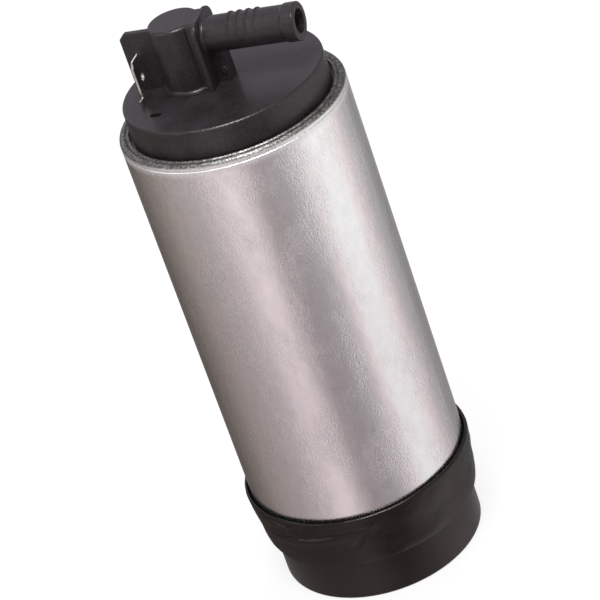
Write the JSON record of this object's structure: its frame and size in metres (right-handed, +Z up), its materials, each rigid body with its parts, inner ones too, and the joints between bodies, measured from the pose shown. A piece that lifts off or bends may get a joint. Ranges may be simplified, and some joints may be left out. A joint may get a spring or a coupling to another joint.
{
  "type": "electric fuel pump",
  "caption": "Slim in-tank electric fuel pump: rolled aluminium can, black outlet cap with side hose barb and blade terminals, inlet cup with rubber sleeve.",
  "frame": {"origin": "middle of the foot that the pump stands on, on the can's axis", "axes": "+Z up along the can towards the outlet cap, +X the way the hose barb points, so the blade terminals are on the -X side"},
  "size_m": [0.045, 0.045, 0.1179],
  "materials": {
    "can_aluminium": "satin, finely brushed along the can",
    "cap_plastic": "satin moulded plastic",
    "cup_plastic": "satin moulded plastic",
    "sleeve_rubber": "soft sheen",
    "seal_rubber": "smooth",
    "tinned_terminal": "bright tin plate",
    "valve_brass": "turned",
    "valve_plastic": "moulded",
    "spring_steel": "drawn wire and strip",
    "holder_plastic": "moulded",
    "carbon": "pressed carbon",
    "ferrite": "sintered ferrite",
    "copper": "enamelled wire and turned copper",
    "bearing_bronze": "sintered bronze",
    "motor_steel": "plated mild steel",
    "shaft_steel": "ground",
    "insulator_plastic": "moulded",
    "commutator_plastic": "moulded",
    "impeller_plastic": "moulded phenolic",
    "stage_aluminium": "die cast and machined",
    "screen_plastic": "woven look, moulded"
  },
  "bodies": {
    "pump": {"can": "can_aluminium", "outlet_cap": "cap_plastic", "cap_seal_ring": "seal_rubber", "terminal_positive": "tinned_terminal", "terminal_negative": "tinned_terminal", "check_valve_seat": "valve_brass", "check_valve_spring": "spring_steel", "relief_valve_seat": "valve_brass", "relief_valve_spring": "spring_steel", "brush_holder": "holder_plastic", "brush_spring_positive": "spring_steel", "brush_spring_negative": "spring_steel", "choke_core_positive": "ferrite", "choke_core_negative": "ferrite", "choke_winding_positive": "copper", "choke_winding_negative": "copper", "upper_bush": "bearing_bronze", "lower_bush": "bearing_bronze", "flux_ring": "motor_steel", "magnet_left": "ferrite", "magnet_right": "ferrite", "magnet_clip_front": "spring_steel", "magnet_clip_back": "spring_steel", "pump_cover": "stage_aluminium", "thrust_button": "shaft_steel", "pump_casing": "stage_aluminium", "inlet_cup": "cup_plastic", "inlet_screen": "screen_plastic", "rubber_sleeve": "sleeve_rubber"},
    "rotor": {"motor_shaft": "shaft_steel", "armature_core": "motor_steel", "insulator_lower": "insulator_plastic", "insulator_upper": "insulator_plastic", "armature_winding": "copper", "commutator_base": "commutator_plastic", "commutator_segments": "copper", "impeller": "impeller_plastic"},
    "positive_brush": {"brush_positive": "carbon"},
    "negative_brush": {"brush_negative": "carbon"},
    "check_valve": {"check_valve_poppet": "valve_plastic", "check_valve_washer": "seal_rubber"},
    "relief_valve": {"relief_valve_ball": "spring_steel"}
  },
  "joints": [
    {"name": "rotor_spin", "type": "hinge", "parent": "pump", "child": "rotor", "pos_m": [0, 0, 0.05], "axis": [0, 0, 1], "continuous": true},
    {"name": "positive_brush_lift", "type": "slide", "parent": "pump", "child": "positive_brush", "axis": [0, 0, 1], "range_m": [0, 0.0025], "stiffness_N_per_m": 120, "springref_m": -0.004, "deforming": ["brush_spring_positive"]},
    {"name": "negative_brush_lift", "type": "slide", "parent": "pump", "child": "negative_brush", "axis": [0, 0, 1], "range_m": [0, 0.0025], "stiffness_N_per_m": 120, "springref_m": -0.004, "deforming": ["brush_spring_negative"]},
    {"name": "check_valve_lift", "type": "slide", "parent": "pump", "child": "check_valve", "axis": [0, 0, 1], "range_m": [0, 0.0018], "stiffness_N_per_m": 100, "springref_m": -0.002, "deforming": ["check_valve_spring"]},
    {"name": "relief_valve_lift", "type": "slide", "parent": "pump", "child": "relief_valve", "axis": [0, 0, 1], "range_m": [0, 0.0012], "stiffness_N_per_m": 800, "springref_m": -0.0015, "deforming": ["relief_valve_spring"]}
  ]
}
